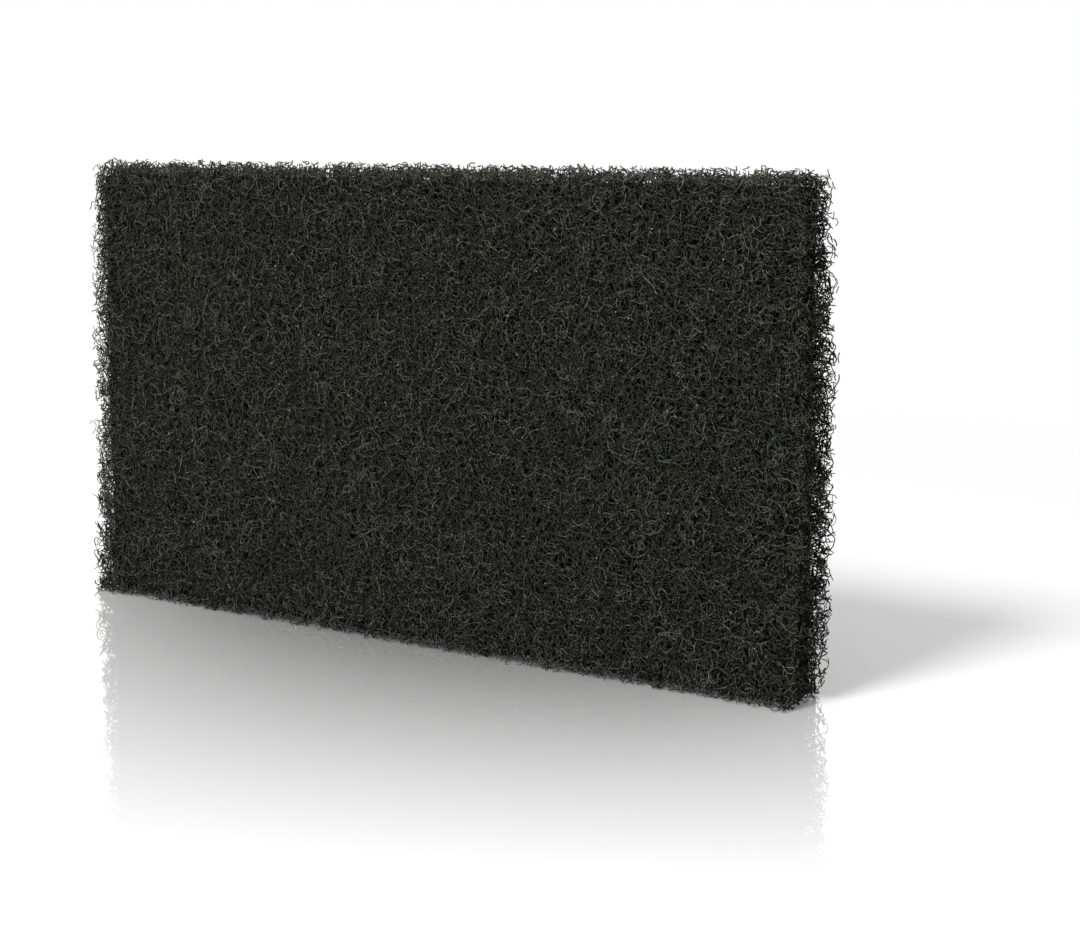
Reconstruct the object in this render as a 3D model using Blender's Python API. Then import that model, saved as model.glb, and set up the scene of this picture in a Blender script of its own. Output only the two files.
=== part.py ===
"""A scouring pad: one slab of coarse bonded fibre, standing on its long cut edge.

The slab is a single piece. Its two large faces were pressed flat when the web was bonded, so their
fibres end in one plane, with shallow hollows between the tufts. Its four narrow sides were cut with a
blade, so they wander a little and their corners are soft. The side it stands on is flat.

Frame: X runs along the pad, Y through its thickness, Z up. The origin is the middle of the side that
the pad stands on. Run with: blender --background --python part.py
"""

import math

import bmesh
import bpy
from mathutils import Vector, noise

# Overall size of the pad as cut, in metres.
LENGTH = 0.160
THICKNESS = 0.013
HEIGHT = 0.090

# The soft corner all round, where two sides meet.
CORNER = 0.0011

# The modelled surface: the most that two neighbouring points may lie apart along a side.
FACET = 0.0026

# Hollows between the tufts: their scale, the height of the noise at which they begin, and how far they
# sink for each unit of noise above it. Below that height the fibres reach the plane of the side.
HOLLOW_SPACING = 0.0049
HOLLOW_LEVEL = 0.02
HOLLOW_SINK = 0.0026

# How the blade wandered on the cut sides: its scale along them, and how far in it came for each unit
# of noise.
WANDER_LENGTH = 0.021
WANDER_SINK = 0.0013

# How deep in the web a hollow or a wandering cut still draws the fibres along with it.
REACH = 0.0045

CHARCOAL = (0.030, 0.032, 0.027, 1.0)
WEB_ROUGHNESS = 0.92

SIZE = Vector((LENGTH, THICKNESS, HEIGHT))
ALONG, ACROSS, UP = range(3)
EVERY_SIDE = [(axis, sign) for axis in (ALONG, ACROSS, UP) for sign in (-1.0, 1.0)]
STANDING_SIDE = (UP, -1.0)


def clear_scene():
    for old in list(bpy.data.objects):
        bpy.data.objects.remove(old)


def web_material():
    """Dark grey fibre with a dull resin coat."""
    material = bpy.data.materials.new("charcoal_web")
    material.use_nodes = True
    shader = material.node_tree.nodes["Principled BSDF"]
    shader.inputs["Base Color"].default_value = CHARCOAL
    shader.inputs["Roughness"].default_value = WEB_ROUGHNESS
    shader.inputs["Metallic"].default_value = 0.0
    return material


def stations(extent):
    """Where to cut the block along one axis: at the start of each soft corner, and evenly between."""
    inner = extent - 2 * CORNER
    count = max(1, math.ceil(inner / FACET))
    return [-inner / 2 + inner * i / count for i in range(count + 1)]


def gridded_block():
    """A block of the pad's size, centred on the origin, cut by a plane at every station."""
    block = bmesh.new()
    bmesh.ops.create_cube(block, size=1.0)
    bmesh.ops.scale(block, vec=SIZE, verts=block.verts)
    for axis, extent in enumerate(SIZE):
        normal = Vector((0.0, 0.0, 0.0))
        normal[axis] = 1.0
        for place in stations(extent):
            everything = block.verts[:] + block.edges[:] + block.faces[:]
            bmesh.ops.bisect_plane(block, geom=everything, plane_co=normal * place, plane_no=normal)
    return block


def depth_under(place, side):
    """How far a point of the block lies under one of its sides."""
    axis, sign = side
    return SIZE[axis] / 2 - sign * place[axis]


def sides_at(place):
    """The sides of the block that a point lies on: one on a face, two on an edge, three at a corner."""
    return [side for side in EVERY_SIDE if depth_under(place, side) < CORNER / 2]


def hill(place, spacing, level):
    """How far a smooth noise of this scale rises above a level at this point, or nothing below it."""
    return max(0.0, noise.noise(place / spacing) - level)


def drawn_in(place, side):
    """How far the fibres at a point lie in from one side: fully on that side, and less the deeper."""
    if side == STANDING_SIDE:
        return 0.0
    axis, sign = side
    on_side = Vector(place)
    on_side[axis] = sign * SIZE[axis] / 2
    depth = HOLLOW_SINK * hill(on_side, HOLLOW_SPACING, HOLLOW_LEVEL)
    if axis != ACROSS:
        on_side[ACROSS] = 0.0
        depth += WANDER_SINK * hill(on_side, WANDER_LENGTH, 0.0)
    return depth * max(0.0, 1.0 - depth_under(place, side) / REACH)


def shaped(place):
    """Where a point of the plain block ends up on the web."""
    corner_inset = CORNER * (1.0 - 1.0 / math.sqrt(len(sides_at(place))))
    moved = Vector(place)
    for side in EVERY_SIDE:
        axis, sign = side
        moved[axis] -= sign * drawn_in(place, side)
        if side in sides_at(place):
            moved[axis] -= sign * corner_inset
    return moved


def add_pad():
    block = gridded_block()
    stand_on_origin = Vector((0.0, 0.0, HEIGHT / 2))
    for vertex in block.verts:
        vertex.co = shaped(vertex.co) + stand_on_origin
    bmesh.ops.recalc_face_normals(block, faces=block.faces)
    mesh = bpy.data.meshes.new("scouring_pad")
    block.to_mesh(mesh)
    block.free()
    mesh.shade_smooth()
    mesh.materials.append(web_material())
    pad = bpy.data.objects.new("scouring_pad", mesh)
    bpy.context.scene.collection.objects.link(pad)


clear_scene()
add_pad()
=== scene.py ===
# %% [markdown]
# # A scouring pad, fibre by fibre
#
# The pad is a slab of crimped plastic fibres. They are laid loose, sprayed with a resin that holds
# abrasive grains, and baked. Most of what looks like black on the real pad is empty space between
# dark fibres, and at the cut sides daylight comes through them. So this lesson doesn't paint a pad.
# It lays real fibres with Geometry Nodes, much as the web is laid, round a dark core that stands
# for the fibres too deep to be told apart. The core's near-black is painted shade, and the fibres
# carry a little painted shade and painted light as well.
#
# The imported model comes first. It is the frame that every piece has to fit.

# %% The frame and the pad's size
import bpy
import math
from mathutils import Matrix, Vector


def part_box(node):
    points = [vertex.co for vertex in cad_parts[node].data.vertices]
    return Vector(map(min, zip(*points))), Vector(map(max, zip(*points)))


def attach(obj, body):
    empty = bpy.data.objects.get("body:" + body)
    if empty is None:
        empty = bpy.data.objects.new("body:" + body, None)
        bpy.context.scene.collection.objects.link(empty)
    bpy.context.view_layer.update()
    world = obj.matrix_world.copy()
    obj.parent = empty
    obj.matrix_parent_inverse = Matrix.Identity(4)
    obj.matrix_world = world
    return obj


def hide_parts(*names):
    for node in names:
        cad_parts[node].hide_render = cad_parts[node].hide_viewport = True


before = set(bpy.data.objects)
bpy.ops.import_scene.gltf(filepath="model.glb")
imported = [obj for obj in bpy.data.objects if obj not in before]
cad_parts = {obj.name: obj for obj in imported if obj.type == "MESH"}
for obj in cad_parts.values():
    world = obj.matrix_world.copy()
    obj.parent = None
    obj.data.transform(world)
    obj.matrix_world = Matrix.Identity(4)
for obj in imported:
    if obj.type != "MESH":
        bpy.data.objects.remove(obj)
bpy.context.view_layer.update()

LOW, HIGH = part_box("scouring_pad")
LENGTH, THICKNESS, HEIGHT = HIGH - LOW
MM = 0.001
print(f"the pad is {LENGTH / MM:.0f} x {THICKNESS / MM:.0f} x {HEIGHT / MM:.0f} mm")

# %% [markdown]
# ## Node trees written as formulas
#
# The fibres and their finish are both node trees, and a tree is easier to read as a formula.
# `Value` wraps one socket. Python's own operators on it add Math nodes, so `1 - mask` makes a
# Subtract node. Every other node comes from `Tree.add`, which sets the node's settings first and
# then its sockets.


# %% A small language for node trees
class Value:
    """What flows out of one socket. Arithmetic on it adds Math nodes to its tree."""

    def __init__(self, tree, socket):
        self.tree, self.socket = tree, socket

    def math(self, operation, *terms, limited=False):
        settings = {"operation": operation, "use_clamp": limited}
        return self.tree.add("ShaderNodeMath", settings, dict(enumerate(terms)))["Value"]

    def __add__(self, other):
        return self.math("ADD", self, other)

    def __sub__(self, other):
        return self.math("SUBTRACT", self, other)

    def __rsub__(self, other):
        return self.math("SUBTRACT", other, self)

    def __mul__(self, other):
        return self.math("MULTIPLY", self, other)

    __radd__, __rmul__ = __add__, __mul__

    def __truediv__(self, other):
        return self.math("DIVIDE", self, other)

    def __rtruediv__(self, other):
        return self.math("DIVIDE", other, self)

    def __pow__(self, other):
        return self.math("POWER", self, other)

    def __abs__(self):
        return self.math("ABSOLUTE", self)

    def __lt__(self, other):
        return self.math("LESS_THAN", self, other)

    def __gt__(self, other):
        return self.math("GREATER_THAN", self, other)

    def floor(self):
        return self.math("FLOOR", self)

    def sign(self):
        return self.math("SIGN", self)

    def cos(self):
        return self.math("COSINE", self)

    def sin(self):
        return self.math("SINE", self)

    def folded(self, limit):
        """The value bent back and forth between 0 and a limit."""
        return self.math("PINGPONG", self, limit)

    def unit(self):
        """The value, kept between 0 and 1."""
        return self.math("ADD", self, 0.0, limited=True)

    def spread(self, gain):
        """The value drawn away from one half, and kept between 0 and 1."""
        return (self * gain - (gain - 1) / 2).unit()


class Made:
    """A node that was just made. Square brackets pick one of its outputs, by name or by number."""

    def __init__(self, tree, node):
        self.tree, self.node = tree, node

    def __getitem__(self, key):
        return Value(self.tree, pick(self.node.outputs, key))


def pick(sockets, key):
    """The socket with this number, or the one in use with this name."""
    if isinstance(key, int):
        return sockets[key]
    return next(s for s in sockets if s.name == key and s.enabled)


class Tree:
    """A node tree that is filled by calls to add()."""

    def __init__(self, nodes):
        self.nodes = nodes
        nodes.nodes.clear()

    def add(self, kind, settings=None, sockets=None):
        """Makes a node of this type with these settings, and gives its sockets values or links."""
        node = self.nodes.nodes.new(kind)
        for name, setting in (settings or {}).items():
            if name == "stops":
                self.set_stops(node.color_ramp, setting)
            else:
                setattr(node, name, setting)
        for key, value in (sockets or {}).items():
            socket = pick(node.inputs, key)
            if isinstance(value, Value):
                self.nodes.links.new(value.socket, socket)
            else:
                socket.default_value = value
        return Made(self, node)

    def set_stops(self, ramp, stops):
        while len(ramp.elements) < len(stops):
            ramp.elements.new(1.0)
        for element, (place, colour) in zip(ramp.elements, stops):
            element.position, element.color = place, (*colour, 1.0)

    def vector(self, x, y, z):
        return self.add("ShaderNodeCombineXYZ", None, {"X": x, "Y": y, "Z": z})["Vector"]

    def parts(self, vector):
        split = self.add("ShaderNodeSeparateXYZ", None, {"Vector": vector})
        return split["X"], split["Y"], split["Z"]

    def noise(self, vector, scale, detail=1.0):
        """A smooth noise whose hills lie about `scale` apart."""
        sockets = {"Vector": vector, "Scale": 1 / scale, "Detail": detail}
        return self.add("ShaderNodeTexNoise", None, sockets)["Fac"]

    def moved(self, vector, by):
        """A vector with another one added to it."""
        return self.add("ShaderNodeVectorMath", {"operation": "ADD"}, {0: vector, 1: by})["Vector"]

    def mixed(self, share, first, second, way="MIX"):
        """Two colours blended by a share."""
        settings = {"data_type": "RGBA", "blend_type": way}
        sockets = {"Factor": share, "A": first, "B": second}
        return self.add("ShaderNodeMix", settings, sockets)["Result"]


# %% [markdown]
# A Geometry Nodes tree has named inputs, so that one tree can lay several kinds of fibre. `Recipe`
# adds them one at a time. `make_piece` runs the finished recipe on an empty object, keeps the
# result as a plain mesh and throws the modifier away, because only plain meshes can be exported.


# %% Geometry Nodes with named inputs
class Recipe(Tree):
    """A Geometry Nodes tree with named inputs, whose result is one mesh."""

    def __init__(self, name):
        super().__init__(bpy.data.node_groups.new(name, "GeometryNodeTree"))
        self.add_socket("Geometry", "OUTPUT", "Geometry")
        self.given = self.add("NodeGroupInput")

    def add_socket(self, name, way, kind):
        self.nodes.interface.new_socket(name, in_out=way, socket_type="NodeSocket" + kind)

    def ask(self, name, kind="Float"):
        """Adds an input with this name and returns what the modifier gives it."""
        self.add_socket(name, "INPUT", kind)
        return self.given[name]

    def shape(self, kind, sockets, settings=None):
        """Adds a node that makes or changes geometry, and returns that geometry."""
        return self.add(kind, settings, sockets)[0]

    def finish(self, geometry, coat):
        """Ends the tree: nothing is left as an instance, and every face has its material."""
        geometry = self.shape("GeometryNodeRealizeInstances", {"Geometry": geometry})
        geometry = self.shape("GeometryNodeSetMaterial", {"Geometry": geometry, "Material": coat})
        self.add("NodeGroupOutput", None, {"Geometry": geometry})


def make_piece(name, recipe, inputs):
    """Runs a recipe with these inputs and returns a plain mesh object."""
    piece = bpy.data.objects.new(name, bpy.data.meshes.new(name))
    bpy.context.scene.collection.objects.link(piece)
    modifier = piece.modifiers.new("recipe", "NODES")
    modifier.node_group = recipe.nodes
    for item in recipe.nodes.interface.items_tree:
        if item.in_out == "INPUT":
            modifier[item.identifier] = inputs[item.name]
    graph = bpy.context.evaluated_depsgraph_get()
    grown = piece.evaluated_get(graph)
    mesh = bpy.data.meshes.new_from_object(grown, preserve_all_data_layers=True, depsgraph=graph)
    piece.modifiers.clear()
    piece.data = mesh
    triangles = sum(len(face.vertices) - 2 for face in mesh.polygons)
    print(f"{name}: {triangles} triangles")
    return piece


# %% [markdown]
# ## How one fibre is drawn
#
# A crimped fibre isn't a spring and isn't a scribble. Its direction drifts, now left, now right,
# and it keeps its length. That is easy to copy: take a row of points a fixed step apart, give each
# a small turn from a smooth noise, and add the turns up along the row to get a heading. Then add up
# the steps in those headings to get the places. The Accumulate Field node does both sums, for each
# fibre by itself.
#
# A whole layer is one cloud of points. A point's number divided by the points in a fibre says which
# fibre it belongs to, and what is left over says how far along the fibre it lies.

# %% Inputs of the fibre recipe
lay = Recipe("lay_fibres")
fibres, joints = lay.ask("Fibres", "Int"), lay.ask("Joints", "Int")
step, radius = lay.ask("Step"), lay.ask("Radius")
curl, curl_length, lift = lay.ask("Curl"), lay.ask("Curl length"), lay.ask("Lift")
low_corner, high_corner = lay.ask("Low corner", "Vector"), lay.ask("High corner", "Vector")
bare_low, bare_high = lay.ask("Bare low", "Vector"), lay.ask("Bare high", "Vector")
side, shallow, deep = lay.ask("Side"), lay.ask("Shallow"), lay.ask("Deep")
# The third of these is how much painted shade darkens a fibre at the bottom of its layer.
darkest, lightest, painted_depth_shade = lay.ask("Darkest"), lay.ask("Lightest"), lay.ask("Painted depth shade")
seed, coat = lay.ask("Seed", "Int"), lay.ask("Coat", "Material")

point = lay.add("GeometryNodeInputIndex")["Index"]
fibre = ((point + 0.5) / joints).floor()
joint = point - fibre * joints
given_names = [item.name for item in lay.nodes.interface.items_tree if item.in_out == "INPUT"]
print(f"the fibre recipe asks for {len(given_names)} inputs")

# %% Noises and sums along a fibre
FAR_APART = 999.0
NOISE_STRETCH = 4


def chance(number, low=0.0, high=1.0):
    """A random number for each fibre, the same at all its joints. Each use has its own number."""
    sockets = {"Min": low, "Max": high, "ID": fibre, "Seed": seed + number}
    return lay.add("FunctionNodeRandomValue", {"data_type": "FLOAT"}, sockets)["Value"]


def drift(number):
    """A smooth noise that runs along each fibre, stretched to about -1 to 1."""
    along = joint * step / curl_length + chance(number, 0.0, FAR_APART)
    sockets = {"W": along, "Scale": 1.0, "Detail": 1.0}
    noise = lay.add("ShaderNodeTexNoise", {"noise_dimensions": "1D"}, sockets)["Fac"]
    return noise * NOISE_STRETCH - NOISE_STRETCH / 2


def running_sum(value, kind="FLOAT"):
    """Adds a value up along each fibre: the sum so far, and the sum of the whole fibre."""
    sockets = {"Value": value, "Group ID": fibre}
    sums = lay.add("GeometryNodeAccumulateField", {"data_type": kind}, sockets)
    return sums["Leading"], sums["Total"]


# %% [markdown]
# The heading turns in the plane of the pad, because the web was laid flat. Some fibres are crimped
# more than others, and most are bent one way all along, which draws them into loops. A second noise
# lifts the fibre out of that plane and back, which is what weaves the layers together.

# %% Headings and places
LEAST_CURLED, MOST_CURLED = 0.45, 1.7
MOST_BENT = 0.6

bent = chance(10, -MOST_BENT, MOST_BENT)
turn = (drift(1) + bent) * curl * chance(2, LEAST_CURLED, MOST_CURLED) * step
heading = running_sum(turn)[0] + chance(3, 0.0, 2 * math.pi)
slope = drift(4) * lift
stride = lay.vector(
    slope.cos() * heading.cos() * step,
    slope.sin() * step,
    slope.cos() * heading.sin() * step,
)
so_far, whole = running_sum(stride, "FLOAT_VECTOR")
start = lay.add(
    "FunctionNodeRandomValue",
    {"data_type": "FLOAT_VECTOR"},
    {"Min": low_corner, "Max": high_corner, "ID": fibre, "Seed": seed},
)["Value"]
start_x, start_y, start_z = lay.parts(start)
gone_x, gone_y, gone_z = lay.parts(so_far)
whole_x, whole_y, whole_z = lay.parts(whole)
x = start_x + gone_x - whole_x / 2
y = start_y + gone_y - whole_y / 2
z = start_z + gone_z - whole_z / 2
print(f"some fibres are crimped {MOST_CURLED / LEAST_CURLED:.1f} times as much as others")

# %% [markdown]
# A fibre that would leave its layer is bent back into it. Depth is measured from the pressed face,
# and folding it between the layer's two limits makes the fibre touch the face, turn over and go
# down again. `side` is -1 for the front face and 1 for the back. At the foot the pad's weight does
# the same: fibres that hang too low are bent up, so that in most places they lie on the floor, and
# in a few they arch over it. There they are also splayed outwards, here more and there less, which
# frays the foot line.

# %% Folding the fibres into their layer
THINNEST, THICKEST = 0.75, 1.3
ARCH_SCALE, ARCH_FROM, ARCH_RISE = 1.3 * MM, 0.52, 5.0 * MM
SPLAY_SCALE, SPLAY_FROM, SPLAY_GAIN = 1.6 * MM, 0.3, 2.5
SPLAY_HEIGHT, SPLAY = 2.5 * MM, 0.38

depth = THICKNESS / 2 - side * y
depth = (depth - shallow).folded(deep - shallow) + shallow
arch = (lay.noise(lay.vector(x, y, z), ARCH_SCALE) - ARCH_FROM).unit() * ARCH_RISE
resting = radius * THICKEST + arch
z = abs(z - resting) + resting
patch = ((lay.noise(lay.vector(x, y, z), SPLAY_SCALE) - SPLAY_FROM) * SPLAY_GAIN).unit()
splay = (1 - z / SPLAY_HEIGHT).unit() ** 2 * patch * SPLAY
place = lay.vector(x, side * (THICKNESS / 2 - depth) * (1 + splay), z)
print(f"the foot is splayed by up to {SPLAY * THICKNESS / 2 / MM:.1f} mm on either side")

# %% [markdown]
# ## Cutting the web
#
# On the real pad a blade goes through the laid web, so fibres end where the cut is. Some are pulled
# along and come back shorter, and some spring out past it, which makes the side thin out gradually.
# The recipe lays fibres over the edge too, and then deletes every point outside the cut. The two
# ends swell by a few millimetres once the blade lets go: the right end in its middle, and the left
# end most at the foot, where it carries weight, and there each fibre takes its own share of the
# swelling. What is left of a fibre may be two pieces, so each piece gets a number of its own: the
# fibre's, and how many of its points were cut away so far.

# %% The blade
RAGGED = 2.2 * MM
RAGGED_SCALE = 3.4 * MM
DRAWN_IN = 0.55 * MM
SPRUNG, FEW_SPRING = 1.10 * MM, 2.2
RIGHT_BULGE, BULGE_FLATNESS = 1.7 * MM, 4
LEFT_SPARE, LEFT_FOOT_SPARE, LEAST_SHARE = 1.9 * MM, 2.9 * MM, 0.4
TOP_RAGGED, TOP_THINNING = 1.2 * MM, 1.5

ragged = lay.noise(place, RAGGED_SCALE) - 0.5
drawn = DRAWN_IN - chance(5) ** FEW_SPRING * SPRUNG
up = z / HEIGHT * 2 - 1
on_right = x > 0
right_bulge = (1 - up ** BULGE_FLATNESS) * RIGHT_BULGE
left_bulge = ((1 - up) / 2 * LEFT_FOOT_SPARE + LEFT_SPARE) * chance(11, LEAST_SHARE, 1.0)
bulge = on_right * right_bulge + (1 - on_right) * left_bulge
past_end = abs(x) > LENGTH / 2 + bulge - ragged * RAGGED - drawn
past_top = z > HEIGHT - ragged * TOP_RAGGED - drawn * TOP_THINNING
bare_left, _, bare_foot = lay.parts(bare_low)
bare_right, _, bare_top = lay.parts(bare_high)
in_bare = (x > bare_left) * (x < bare_right) * (z > bare_foot) * (z < bare_top)
cut_away = (past_end + past_top + in_bare).unit()
strand = fibre * (joints + 1) + running_sum(cut_away)[0]
reach_out = (SPRUNG - DRAWN_IN) / MM
print(f"fibres end from {DRAWN_IN / MM:.2f} mm inside the cut to {reach_out:.2f} mm outside it")

# %% [markdown]
# Each fibre also carries its shade: which tint it has, how light it is, and how far along it a
# point lies. A fibre is drawn darker the deeper it lies in its layer, which is painted shade.
# Fibres within a few millimetres of the top and of the left end are drawn paler, which is painted
# light, most of all along the top towards the right. Near every cut more fibres look olive. Those
# numbers become a UV map, and the finish is painted on that map alone. So one small picture baked
# from it holds every colour of every fibre, however many thousands share it.

# %% The shade of each fibre
CLOUD_SCALE, CLOUD_GAIN = 9 * MM, 2
OWN_WEIGHT, SPARE_WEIGHT, CLOUD_WEIGHT = 0.45, 0.3, 0.25
# Painted light: fibres this near the top and left cuts are drawn paler; the same reach sets where
# fibres turn olive.
NEAR_CUTS = 3.0 * MM
EDGE_LIGHT_GAIN = 0.11
TOP_EDGE_LIGHT, TOP_EDGE_LIGHT_MIDDLE = 1.4, 1.25
OLIVE_PLACE, OLIVE_SHARE = 0.60, 0.7

cloud = lay.noise(place, CLOUD_SCALE, 2.0).spread(CLOUD_GAIN)
sunk = (depth - shallow) / (deep - shallow)
left_cut = (1 - (LENGTH / 2 + x) / NEAR_CUTS).unit()
right_cut = (1 - (LENGTH / 2 - x) / NEAR_CUTS).unit()
top_cut = (1 - (HEIGHT - z) / NEAR_CUTS).unit()
# Painted light: fibres near the left end and the top are drawn paler, the top more so towards the
# right.
painted_edge_light = left_cut + top_cut * (x / LENGTH + TOP_EDGE_LIGHT_MIDDLE) * TOP_EDGE_LIGHT
luck = chance(6) * OWN_WEIGHT + chance(9) * SPARE_WEIGHT + cloud * CLOUD_WEIGHT
lightness = darkest + (lightest - darkest) * luck
# Painted shade darkens the deeper fibres, and painted light brightens those near the top and left
# cuts.
lightness = (lightness * (1 - sunk * painted_depth_shade) + painted_edge_light * EDGE_LIGHT_GAIN).unit()
tint = chance(7)
tint = tint + (OLIVE_PLACE - tint) * (left_cut + right_cut + top_cut).unit() * OLIVE_SHARE
shade = lay.vector(tint, lightness, joint / joints)
print(f"dust and olive fibres fade out {NEAR_CUTS / MM:.0f} mm from the cuts")

# %% [markdown]
# The points now become curves. Each point first keeps what its fibre will need later: shade,
# thickness, number and order. Points outside the cut are deleted, and so is any snippet with too
# few points left to look like a fibre.

# %% Curves through the points
FEWEST_POINTS = 3


def remember(geometry, name, value, kind, domain="POINT"):
    """Keeps a value on the geometry under this name."""
    sockets = {"Geometry": geometry, "Name": name, "Value": value}
    settings = {"data_type": kind, "domain": domain}
    return lay.shape("GeometryNodeStoreNamedAttribute", sockets, settings)


def recall(name, kind):
    """Reads a value that was kept on the geometry."""
    settings = {"data_type": kind}
    return lay.add("GeometryNodeInputNamedAttribute", settings, {"Name": name})["Attribute"]


def without(geometry, selection, domain):
    """Deletes what is selected."""
    sockets = {"Geometry": geometry, "Selection": selection}
    return lay.shape("GeometryNodeDeleteGeometry", sockets, {"domain": domain})


web = lay.shape("GeometryNodePoints", {"Count": fibres * joints})
web = lay.shape("GeometryNodeSetPosition", {"Geometry": web, "Position": place})
web = remember(web, "shade", shade, "FLOAT_VECTOR")
web = remember(web, "girth", chance(8, THINNEST, THICKEST), "FLOAT")
web = remember(web, "strand", strand, "INT")
web = remember(web, "joint", joint, "FLOAT")
web = without(web, cut_away, "POINT")
in_order = {"Curve Group ID": recall("strand", "INT"), "Weight": recall("joint", "FLOAT")}
web = lay.shape("GeometryNodePointsToCurves", {"Points": web, **in_order})
too_short = lay.add("GeometryNodeSplineLength")["Point Count"] < FEWEST_POINTS
web = without(web, too_short, "CURVE")
print(f"a fibre keeps at least {FEWEST_POINTS} points")

# %% [markdown]
# A fibre is one or two pixels wide in the photograph, so three sides are enough for it. The little
# triangle is swept along every curve at once, with caps on the ends. Its corner number is kept too,
# as the second direction of the UV map, so that no face is a mere line there.

# %% A tube along every fibre, and its map
SIDES = 3
TINT_SHARE = 0.86
LANE = 0.006

outline = lay.shape("GeometryNodeCurvePrimitiveCircle", {"Resolution": SIDES, "Radius": radius})
corner = lay.add("GeometryNodeInputIndex")["Index"] / SIDES
outline = remember(outline, "round_it", corner, "FLOAT")
web = lay.shape(
    "GeometryNodeCurveToMesh",
    {"Curve": web, "Profile Curve": outline, "Scale": recall("girth", "FLOAT"), "Fill Caps": True},
)
kept_tint, kept_lightness, along = lay.parts(recall("shade", "FLOAT_VECTOR"))
shade_map = lay.vector(
    kept_tint * TINT_SHARE + along * (1 - TINT_SHARE),
    kept_lightness * (1 - LANE) + recall("round_it", "FLOAT") * LANE,
    0.0,
)
web = remember(web, "OFBake", shade_map, "FLOAT2", "CORNER")
web = lay.shape("GeometryNodeSetShadeSmooth", {"Geometry": web})
for name in ("shade", "girth", "strand", "joint", "round_it"):
    web = lay.shape("GeometryNodeRemoveAttribute", {"Geometry": web, "Name": name})
lay.finish(web, coat)
print(f"the fibre recipe has {len(lay.nodes.nodes)} nodes")

# %% [markdown]
# ## The finish of a fibre
#
# The fibre is dyed charcoal and coated with cured resin, so it is dull grey with a little olive in
# some lots, and a few fibres are cooler, browner or, very rarely, dark red. The map's first
# direction picks the tint and its second the lightness. The resin dries in beads, so along one
# fibre the grey keeps changing between nearly black and pale. A fine noise on the same map stands
# for the beads.


# %% Fibre material
def material(name):
    """A new material, its tree, and its Principled BSDF, which is wired to the output."""
    made = bpy.data.materials.new(name)
    made.use_nodes = True
    tree = Tree(made.node_tree)
    shader = tree.add("ShaderNodeBsdfPrincipled")
    tree.add("ShaderNodeOutputMaterial", None, {"Surface": shader["BSDF"]})
    return made, tree, shader.node


def feed(tree, shader, name, value):
    """Links a value to one of the shader's sockets."""
    tree.nodes.links.new(value.socket, shader.inputs[name])


DARK_FIBRE = (0.0031, 0.0035, 0.0012, 1)
LIGHT_FIBRE = (0.140, 0.144, 0.135, 1)
BEADS, BEAD_EDGE = 3.8, 1.4
BEADS_ALONG, BEADS_ACROSS = 150, 30
SMOOTHEST, ROUGHENED = 0.42, 0.35
GLOSS, GLOSS_TINT = 0.08, (0.98, 1.0, 0.74, 1)
TINTS = [
    (0.00, (0.98, 1.00, 0.98)),
    (0.45, (0.98, 1.00, 0.92)),
    (0.60, (1.00, 1.02, 0.72)),
    (0.76, (0.94, 1.00, 1.06)),
    (0.95, (1.00, 0.98, 0.90)),
    (0.985, (1.70, 0.75, 0.65)),
]

fibre_coat, paint, shader = material("resin_coated_fibre")
shade_place = paint.add("ShaderNodeUVMap", {"uv_map": "OFBake"})["UV"]
tint, lightness, _ = paint.parts(shade_place)
tint_colour = paint.add("ShaderNodeValToRGB", {"stops": TINTS}, {"Fac": tint})["Color"]
resin = paint.noise(paint.vector(tint * BEADS_ALONG, lightness * BEADS_ACROSS, 0.0), 1.0, 2.0)
coated = (lightness + (resin - 0.5) * BEADS).unit() ** BEAD_EDGE
grey = paint.mixed(coated, DARK_FIBRE, LIGHT_FIBRE)
feed(paint, shader, "Base Color", paint.mixed(1.0, grey, tint_colour, "MULTIPLY"))
feed(paint, shader, "Roughness", (SMOOTHEST + resin * ROUGHENED).unit())
shader.inputs["Specular IOR Level"].default_value = GLOSS
shader.inputs["Specular Tint"].default_value = GLOSS_TINT
print(f"the fibres have {len(TINTS)} tints")

# %% [markdown]
# ## The dark core
#
# A millimetre or two in, the web is too dense to see through. A lumpy block stands for it. Its ends
# and long sides are pulled in next to the faces, and all of it is pushed about by a noise, so it
# never shows as a plane between the fibres.

# %% Core recipe
SIDE_SHARE = 0.5

block = Recipe("lay_core")
core_size, core_centre = block.ask("Size", "Vector"), block.ask("Centre", "Vector")
cell, lump, lump_scale = block.ask("Cell"), block.ask("Lump"), block.ask("Lump scale")
nose, nose_length = block.ask("Nose"), block.ask("Nose length")
core_coat = block.ask("Coat", "Material")

core_length, core_thickness, core_height = block.parts(core_size)
sizes = {
    "Size": core_size,
    "Vertices X": core_length / cell + 1,
    "Vertices Y": core_thickness / cell + 1,
    "Vertices Z": core_height / cell + 1,
}
body = block.shape("GeometryNodeMeshCube", sizes)
grid_place = block.add("GeometryNodeInputPosition")["Position"]
grid_x, grid_y, grid_z = block.parts(grid_place)
near_face = (grid_y / core_thickness * 2) ** 2
near_end = ((abs(grid_x) - core_length / 2) / nose_length + 1).unit()
near_side = ((abs(grid_z) - core_height / 2) / nose_length + 1).unit()
end_pull = near_end * near_face * nose
side_pull = near_side * near_face * nose * SIDE_SHARE
rounding = block.vector(0 - grid_x.sign() * end_pull, 0.0, 0 - grid_z.sign() * side_pull)

lumps = {"Vector": grid_place, "Scale": 1 / lump_scale, "Detail": 2.0}
push = block.add("ShaderNodeTexNoise", None, lumps)["Color"]
push = block.moved(push, (-0.5, -0.5, -0.5))
longer = {"Vector": push, "Scale": lump}
push = block.add("ShaderNodeVectorMath", {"operation": "SCALE"}, longer)["Vector"]
push = block.moved(block.moved(push, rounding), core_centre)
body = block.shape("GeometryNodeSetPosition", {"Geometry": body, "Offset": push})
body = block.shape("GeometryNodeSetShadeSmooth", {"Geometry": body})
block.finish(body, core_coat)
print(f"the core recipe has {len(block.nodes.nodes)} nodes")
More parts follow.
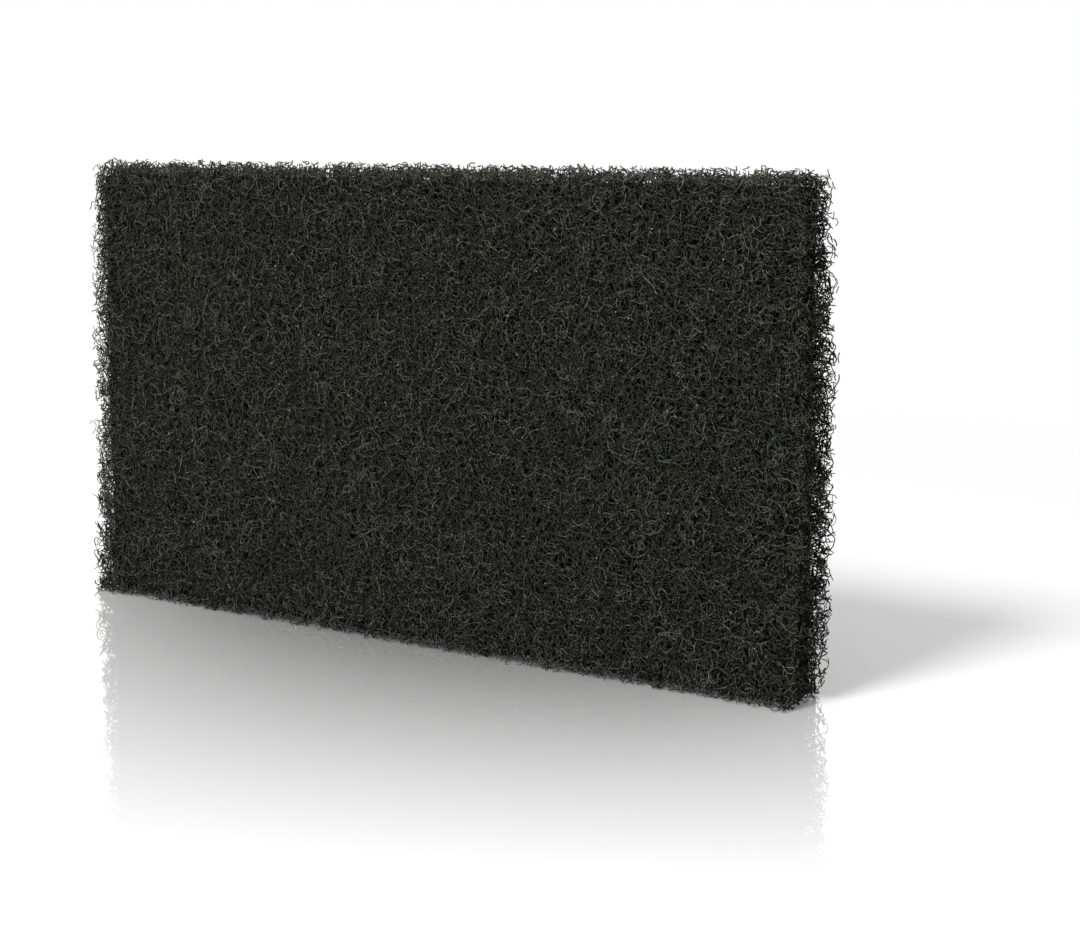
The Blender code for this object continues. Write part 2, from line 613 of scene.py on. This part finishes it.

# %% [markdown]
# Fibres too deep to be laid one by one are drawn on the core. Where a smooth noise crosses one half
# there is a curved line, and several such noises laid over each other make a tangle like the web's.
# The noise divided by its own slope is a distance, so that every line comes out equally wide. Each
# line also paints a shadow over what lies within four of its half widths, which sets it in front of
# the lines before it. Deeper tangles are drawn darker, and the core between them nearly black: both
# are painted shade of the web's depths.

# %% Core material
# Painted shade: the near-black between the lines and the darker deep lines stand for the shade
# inside the web.
PAINTED_DEEP_SHADE = (0.0010, 0.0011, 0.0009, 1)
DEEP_FIBRE = (0.007, 0.0076, 0.0050, 1)
NEAR_FIBRE = (0.048, 0.051, 0.039, 1)
LOOP_SCALE = 1.7 * MM
LINE_HALF = 0.050 * MM
LINE_EDGE, SHADE_REACH, SHADE_STRENGTH = 1.6, 4.0, 0.85
PROBE = 0.05 * MM
TANGLES, TANGLES_APART = 6, (0.31, 0.17, 0.23)
LEAST_RAISED = 0.5
BUMP, BUMP_DEPTH = 0.5, 0.2 * MM
DEEP_ROUGHNESS, DEEP_GLOSS = 0.9, 0.02

deep_web, paint, shader = material("deep_web")
body_place = paint.add("ShaderNodeTexCoord")["Object"]


def line_distance(number):
    """How far a point of the core lies from the lines of one tangle."""
    place = paint.moved(body_place, tuple(apart * number for apart in TANGLES_APART))
    here = paint.noise(place, LOOP_SCALE)
    slope_squared = 0.0
    for axis in ((PROBE, 0, 0), (0, PROBE, 0), (0, 0, PROBE)):
        change = (paint.noise(paint.moved(place, axis), LOOP_SCALE) - here) / PROBE
        slope_squared = change * change + slope_squared
    return abs(here - 0.5) / slope_squared ** 0.5


deep_colour = PAINTED_DEEP_SHADE
height = 0.0
for number in range(TANGLES):
    nearness = number / (TANGLES - 1)
    away = line_distance(number) / LINE_HALF
    line = (LINE_EDGE - away).unit()
    # Painted shadow: each line darkens the core around it, over the tangles laid before it.
    under = (1 - away / SHADE_REACH).unit()
    tone = tuple(d + (n - d) * nearness for d, n in zip(DEEP_FIBRE, NEAR_FIBRE))
    deep_colour = paint.mixed(under * SHADE_STRENGTH, deep_colour, PAINTED_DEEP_SHADE)
    deep_colour = paint.mixed(line, deep_colour, tone)
    raised = line * (LEAST_RAISED + nearness * (1 - LEAST_RAISED))
    height = raised.math("MAXIMUM", height, raised)
feed(paint, shader, "Base Color", deep_colour)
shader.inputs["Roughness"].default_value = DEEP_ROUGHNESS
shader.inputs["Specular IOR Level"].default_value = DEEP_GLOSS
bumps = {"Strength": BUMP, "Distance": BUMP_DEPTH, "Height": height}
feed(paint, shader, "Normal", paint.add("ShaderNodeBump", None, bumps)["Normal"])
print(f"the core is drawn with {TANGLES} tangles of lines")

# %% [markdown]
# ## Laying the pad
#
# The core goes in first, one or two millimetres under the pad's sides.

# %% The core
CORE_INSET = Vector((1.2, 1.25, 1.6)) * MM
CORE_LEFT, CORE_RAISE = -0.5 * MM, -0.75 * MM
core = make_piece(
    "web_core",
    block,
    {
        "Size": Vector((LENGTH, THICKNESS, HEIGHT)) - 2 * CORE_INSET,
        "Centre": (CORE_LEFT, 0.0, HEIGHT / 2 + CORE_RAISE),
        "Cell": 1.6 * MM,
        "Lump": 2.0 * MM,
        "Lump scale": 4 * MM,
        "Nose": 0.7 * MM,
        "Nose length": 9 * MM,
        "Coat": deep_web,
    },
)

# %% [markdown]
# Each pressed face is laid in two batches, called lower and upper, that share the same depth. All
# its fibres in one piece would be too many triangles to export well. The back is laid in the same
# way, from other random numbers and with half as many fibres, because it is seldom looked at
# closely.

# %% The pressed faces
FRONT, BACK = -1.0, 1.0
OVERLAP, FOOT_OVERLAP = 4.5 * MM, 1.2 * MM
ALL_X = (-LENGTH / 2 - OVERLAP, LENGTH / 2 + OVERLAP)
ALL_Z = (-FOOT_OVERLAP, HEIGHT + OVERLAP)
NOWHERE = (0, 0)


def box(name_low, name_high, x_range, z_range):
    """The inputs that give the two corners of a box through the whole thickness."""
    (x_low, x_high), (z_low, z_high) = x_range, z_range
    return {
        name_low: (x_low, -THICKNESS / 2, z_low),
        name_high: (x_high, THICKNESS / 2, z_high),
    }


def laid_in(x_range, z_range):
    """Where fibres are laid."""
    return box("Low corner", "High corner", x_range, z_range)


def left_bare(x_range, z_range):
    """Where every fibre is cut away again."""
    return box("Bare low", "Bare high", x_range, z_range)


face_fibres = {
    **laid_in(ALL_X, ALL_Z),
    **left_bare(NOWHERE, NOWHERE),
    "Joints": 12,
    "Step": 0.68 * MM,
    "Radius": 0.086 * MM,
    "Curl": 1500.0,
    "Curl length": 2.6 * MM,
    "Lift": 1.0,
    "Shallow": 0.10 * MM,
    "Deep": 1.35 * MM,
    "Darkest": 0.15,
    "Lightest": 1.0,
    # Painted depth shade: the deepest fibres of a face are drawn this much darker.
    "Painted depth shade": 0.6,
    "Coat": fibre_coat,
}
FACE_LAYERS = {
    "front_lower_fibres": {"Side": FRONT, "Fibres": 3060, "Seed": 100},
    "front_upper_fibres": {"Side": FRONT, "Fibres": 3120, "Seed": 200},
    "back_lower_fibres": {"Side": BACK, "Fibres": 1490, "Seed": 300},
    "back_upper_fibres": {"Side": BACK, "Fibres": 1490, "Seed": 400},
}
pieces = [make_piece(name, lay, {**face_fibres, **own}) for name, own in FACE_LAYERS.items()]

# %% [markdown]
# The four cut sides show the web's inside, so there the fibres run through the whole thickness, in
# a band a few millimetres wide. Nothing is laid further in, where the core would hide it.

# %% The cut sides
LEFT_BAND, RIGHT_BAND = 2.6 * MM, 3.0 * MM
TOP_BAND, FOOT_BAND = 2.6 * MM, 1.9 * MM
INWARD = 1.2 * MM
UNDER_FACE = 0.9 * MM
WITHIN_ENDS = (LEFT_BAND - LENGTH / 2, LENGTH / 2 - RIGHT_BAND)
rim_fibres = {
    **face_fibres,
    "Side": FRONT,
    "Joints": 10,
    "Step": 0.72 * MM,
    "Radius": 0.106 * MM,
    "Curl": 2000.0,
    "Curl length": 1.6 * MM,
    "Shallow": UNDER_FACE,
    "Deep": THICKNESS - UNDER_FACE,
    # No painted depth shade on the cut sides.
    "Painted depth shade": 0.0,
    "Darkest": -0.4,
}
RIMS = {
    "right_end_fibres": {
        **laid_in((WITHIN_ENDS[1] - INWARD, ALL_X[1]), ALL_Z),
        **left_bare(WITHIN_ENDS, ALL_Z),
        "Fibres": 4450,
        "Seed": 500,
    },
    "left_end_fibres": {
        **laid_in((ALL_X[0], WITHIN_ENDS[0] + INWARD), ALL_Z),
        **left_bare(WITHIN_ENDS, ALL_Z),
        "Fibres": 5200,
        "Seed": 600,
    },
    "top_side_fibres": {
        **laid_in(WITHIN_ENDS, (HEIGHT - TOP_BAND - INWARD, ALL_Z[1])),
        **left_bare(ALL_X, (-FOOT_OVERLAP, HEIGHT - TOP_BAND)),
        "Fibres": 5800,
        "Seed": 700,
    },
    "foot_side_fibres": {
        **laid_in(WITHIN_ENDS, (ALL_Z[0], FOOT_BAND + INWARD)),
        **left_bare(ALL_X, (FOOT_BAND, ALL_Z[1])),
        "Fibres": 2100,
        "Seed": 800,
    },
}
pieces += [make_piece(name, lay, {**rim_fibres, **own}) for name, own in RIMS.items()]

# %% [markdown]
# ## Resin grains
#
# Here and there the resin dried as a clear bead over pale abrasive that catches the light as a
# white point. The recipe scatters points over the outermost fibres and sets a small faceted grain
# on each.

# %% Grain recipe
SMALLEST, LARGEST = 0.6, 1.4

scatter = Recipe("scatter_grains")
carrier, crowd = scatter.ask("Web", "Object"), scatter.ask("Grains per square metre")
grain_radius, outermost = scatter.ask("Grain radius"), scatter.ask("Outermost")
grain_seed, grain_coat = scatter.ask("Seed", "Int"), scatter.ask("Coat", "Material")

carrier = scatter.add("GeometryNodeObjectInfo", None, {"Object": carrier})["Geometry"]
_, out_y, _ = scatter.parts(scatter.add("GeometryNodeInputPosition")["Position"])
spots = scatter.shape(
    "GeometryNodeDistributePointsOnFaces",
    {
        "Mesh": carrier,
        "Selection": abs(out_y) > THICKNESS / 2 - outermost,
        "Density": crowd,
        "Seed": grain_seed,
    },
)
grain = scatter.shape("GeometryNodeMeshIcoSphere", {"Radius": grain_radius, "Subdivisions": 1})


def any_of(low, high, number):
    """A random vector for each grain."""
    sockets = {"Min": low, "Max": high, "Seed": grain_seed + number}
    return scatter.add("FunctionNodeRandomValue", {"data_type": "FLOAT_VECTOR"}, sockets)["Value"]


grains = scatter.shape(
    "GeometryNodeInstanceOnPoints",
    {
        "Points": spots,
        "Instance": grain,
        "Rotation": any_of((0, 0, 0), (math.pi, math.pi, math.pi), 1),
        "Scale": any_of([SMALLEST] * 3, [LARGEST] * 3, 2),
    },
)
scatter.finish(grains, grain_coat)
print(f"the largest grain is {LARGEST / SMALLEST:.1f} times as wide as the smallest")

# %% [markdown]
# The beads are a clear resin over pale abrasive, so they are light grey and smoother than the
# fibres. Their pale grey is partly the abrasive's own colour and partly a painted glint.

# %% Grains on both faces
# Painted glint: the pale grain colour also stands in for the white points where beads catch the
# light.
PALE_GRAIN_AND_GLINT, DULL_GRAIN = (0.80, 0.80, 0.77, 1), (0.22, 0.23, 0.21, 1)
SPECK_SCALE, SPECK_GAIN = 0.7 * MM, 3
CLEAREST, DULLED = 0.15, 0.3

bead_coat, paint, shader = material("resin_bead_and_glint")
speck = paint.noise(paint.add("ShaderNodeTexCoord")["Object"], SPECK_SCALE, 2.0)
feed(paint, shader, "Base Color", paint.mixed(speck.spread(SPECK_GAIN), DULL_GRAIN, PALE_GRAIN_AND_GLINT))
feed(paint, shader, "Roughness", (CLEAREST + speck * DULLED).unit())
grain_inputs = {
    "Grains per square metre": 80000.0,
    "Grain radius": 0.100 * MM,
    "Outermost": 0.45 * MM,
    "Coat": bead_coat,
}
for face, seed_number in (("front", 900), ("back", 950)):
    web_object = bpy.data.objects[f"{face}_upper_fibres"]
    given = {**grain_inputs, "Web": web_object, "Seed": seed_number}
    pieces.append(make_piece(f"{face}_grains", scatter, given))

# %% [markdown]
# ## Floor
#
# The pad stands on a glossy white table. Far from it the table is plain white, as in a picture cut
# out for a shop page. Near it, it takes the pad's shadow, and in front it mirrors the pad, less and
# less towards the viewer. Only camera rays see the white and the mirror, so the pad's own light
# stays plain.

# %% Floor
FLOOR_SIZE = 6.0
floor_mesh = bpy.data.meshes.new("floor")
half = FLOOR_SIZE / 2
corners = [(-half, -half, 0), (half, -half, 0), (half, half, 0), (-half, half, 0)]
floor_mesh.from_pydata(corners, [], [(0, 1, 2, 3)])
floor = bpy.data.objects.new("floor", floor_mesh)
bpy.context.scene.collection.objects.link(floor)
print(f"the floor is {FLOOR_SIZE:.0f} m wide")

# %% Floor material
FLOOR_WHITE = (0.85, 0.85, 0.85, 1)
WHITE = (1, 1, 1, 1)
FLOOR_LIFT = 0.207
WHITE_FROM, WHITE_OVER = 0.20, 0.15
floor_paint = bpy.data.materials.new("pale_floor")
floor_paint.use_nodes = True
tree = Tree(floor_paint.node_tree)
floor_mesh.materials.append(floor_paint)
seen = tree.add("ShaderNodeLightPath")["Is Camera Ray"]
matt = tree.add("ShaderNodeBsdfDiffuse", None, {"Color": FLOOR_WHITE})["BSDF"]
own_light = {"Color": WHITE, "Strength": seen * FLOOR_LIFT}
glow = tree.add("ShaderNodeEmission", None, own_light)["Emission"]
ground = tree.add("ShaderNodeAddShader", None, {0: matt, 1: glow})[0]
floor_x, floor_y, _ = tree.parts(tree.add("ShaderNodeTexCoord")["Object"])
away = (floor_x * floor_x + floor_y * floor_y) ** 0.5
plain = tree.add("ShaderNodeEmission", None, {"Color": WHITE})["Emission"]
far = ((away - WHITE_FROM) / WHITE_OVER).unit()
ground = tree.add("ShaderNodeMixShader", None, {0: far * seen, 1: ground, 2: plain})[0]
print(f"the floor is plain white from {WHITE_FROM + WHITE_OVER:.2f} m outwards")

# %% [markdown]
# The mirror is strongest at the pad's foot. It reaches further in front of the left end than of the
# right end, and it is weaker off to the sides. Behind the pad there is none, so that the shadow
# isn't washed out.

# %% The mirror in front of the pad
MIRROR = 0.77
REACH, REACH_SLANT, REACH_FADE = 0.148, 0.56, 1.15
BOW_SLANT, BOW_SHIFT, BOW_WIDTH = 0.66, 0.01, 0.15
BACK_FADE = 3 * MM

polish = tree.add("ShaderNodeBsdfGlossy", None, {"Color": WHITE, "Roughness": 0.0})["BSDF"]
reach = REACH - floor_x * REACH_SLANT
in_front = 0 - floor_y - THICKNESS / 2
fading = (1 - in_front / reach).unit() ** REACH_FADE
bowed = (1 - ((floor_x + floor_y * BOW_SLANT + BOW_SHIFT) / BOW_WIDTH) ** 2).unit()
before_back = ((THICKNESS / 2 - floor_y) / BACK_FADE).unit()
mirror = fading * bowed * before_back * MIRROR * seen
ground = tree.add("ShaderNodeMixShader", None, {0: mirror, 1: ground, 2: polish})[0]
tree.add("ShaderNodeOutputMaterial", None, {"Surface": ground})
print(f"the pad's middle is mirrored for {REACH * 100:.0f} cm in front of it")

# %% [markdown]
# ## Light
#
# One soft lamp stands high in front and a little to the left. A grey sky fills the shadows. The sky
# is white only where the camera, or a mirror, looks straight at it.

# %% Sky
SKY = 0.52
world = bpy.data.worlds.new("studio")
bpy.context.scene.world = world
world.use_nodes = True
tree = Tree(world.node_tree)
path = tree.add("ShaderNodeLightPath")
seen = (path["Is Camera Ray"] + path["Is Glossy Ray"]).unit()
daylight = {"Color": WHITE, "Strength": seen * (1 - SKY) + SKY}
sky = tree.add("ShaderNodeBackground", None, daylight)["Background"]
tree.add("ShaderNodeOutputWorld", None, {"Surface": sky})
print(f"the sky lights the pad at {SKY:.0%} of its white")

# %% Lamp
KEY_WAY = Vector((-0.085, -0.65, 0.713))
KEY_AWAY = 1.4
KEY_POWER, KEY_WIDTH = 7.75, 0.40
key = bpy.data.lights.new("key", "AREA")
key.shape, key.size, key.energy = "DISK", KEY_WIDTH, KEY_POWER * KEY_AWAY ** 2
key_lamp = bpy.data.objects.new("key", key)
key_lamp.location = Vector((0, 0, HEIGHT / 2)) + KEY_WAY.normalized() * KEY_AWAY
key_lamp.rotation_euler = KEY_WAY.to_track_quat("Z", "Y").to_euler()
bpy.context.scene.collection.objects.link(key_lamp)
print(f"the lamp stands {KEY_AWAY} m away")

# %% [markdown]
# ## Camera
#
# A pinhole camera was fitted to the six corners of the pad that the photograph shows. It stands
# low, just above the pad's top, and looks at the front from the right.

# %% Camera
PHOTO_WIDTH = 1080
FOCAL, HORIZON_LIFT = 2019, 100
YAW, PITCH = math.radians(33.49), math.radians(6.76)
EYE = Vector((0.2266, -0.3041, 0.0980))
camera = bpy.data.objects.new("camera", bpy.data.cameras.new("camera"))
bpy.context.scene.collection.objects.link(camera)
level = math.cos(PITCH)
back = Vector((math.sin(YAW) * level, -math.cos(YAW) * level, math.sin(PITCH)))
camera.location = EYE
camera.rotation_euler = (-back).to_track_quat("-Z", "Y").to_euler()
camera.data.lens = camera.data.sensor_width * FOCAL / PHOTO_WIDTH
camera.data.shift_y = -HORIZON_LIFT / PHOTO_WIDTH
camera.data.clip_start = 0.01
bpy.context.scene.camera = camera
bpy.context.scene.view_settings.view_transform = "Standard"
print(f"the lens is {camera.data.lens:.0f} mm")

# %% [markdown]
# ## Handing over
#
# Every piece rides on the pad's one body, and the imported pad is hidden. The core stands for the
# packed solid, which gives a little and springs back.

# %% Hand the pieces over
for piece in [core, *pieces]:
    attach(piece, "root")
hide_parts("scouring_pad")
